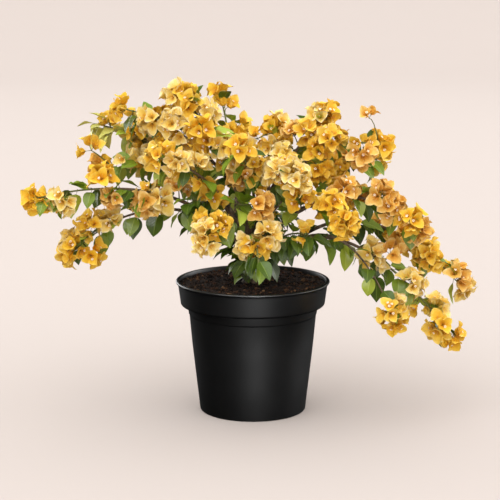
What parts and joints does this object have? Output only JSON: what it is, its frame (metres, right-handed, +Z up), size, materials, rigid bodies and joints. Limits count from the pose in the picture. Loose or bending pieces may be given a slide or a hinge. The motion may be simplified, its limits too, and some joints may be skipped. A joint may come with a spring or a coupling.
{
  "type": "potted bougainvillea bush",
  "caption": "Flowering bougainvillea bush with arching canes that trail on both sides, golden bracts and pointed green leaves, standing in a round black nursery pot of soil.",
  "frame": {"origin": "the middle of the pot's flat underside, where it stands", "axes": "+Z up; -Y towards the front of the plant; +X to the right of somebody who faces it, along its longest spread"},
  "size_m": [0.7325, 0.4322, 0.5337],
  "materials": {
    "pot": "gloss",
    "soil": "matte",
    "bark": "matte",
    "foliage": "matte"
  },
  "bodies": {
    "root": {"pot": "pot", "soil": "soil", "trunk": "bark", "bough_top_left": "bark", "bough_left_high": "bark", "bough_right_top": "bark", "bough_left_trail": "bark", "bough_right_trail": "bark", "bough_front_left": "bark", "bough_front_low": "bark", "bough_right_mid": "bark", "bough_back_left": "bark", "bough_back_right": "bark", "bough_left_spray": "bark", "bough_left_mid": "bark", "bough_left_low": "bark", "bough_back_top": "bark", "bough_front_top": "bark", "bough_front_high": "bark", "bough_front_right": "bark", "bough_centre_right": "bark", "bough_centre_top": "bark", "bough_right_arch": "bark", "bough_right_high": "bark", "bough_right_low": "bark", "bough_back_mid": "bark", "bough_right_hang": "bark", "bough_centre_left": "bark", "foliage_top_left": "foliage", "foliage_left_high": "foliage", "foliage_right_top": "foliage", "foliage_left_trail": "foliage", "foliage_right_trail": "foliage", "foliage_front_left": "foliage", "foliage_front_low": "foliage", "foliage_right_mid": "foliage", "foliage_back_left": "foliage", "foliage_back_right": "foliage", "foliage_left_spray": "foliage", "foliage_left_mid": "foliage", "foliage_left_low": "foliage", "foliage_back_top": "foliage", "foliage_front_top": "foliage", "foliage_front_high": "foliage", "foliage_front_right": "foliage", "foliage_centre_right": "foliage", "foliage_centre_top": "foliage", "foliage_right_arch": "foliage", "foliage_right_high": "foliage", "foliage_right_low": "foliage", "foliage_back_mid": "foliage", "foliage_right_hang": "foliage", "foliage_centre_left": "foliage", "foliage_inner_left": "foliage", "foliage_inner_right": "foliage", "foliage_inner_front": "foliage", "foliage_inner_back": "foliage", "foliage_inner_low": "foliage", "foliage_inner_foot": "foliage"}
  },
  "joints": []
}
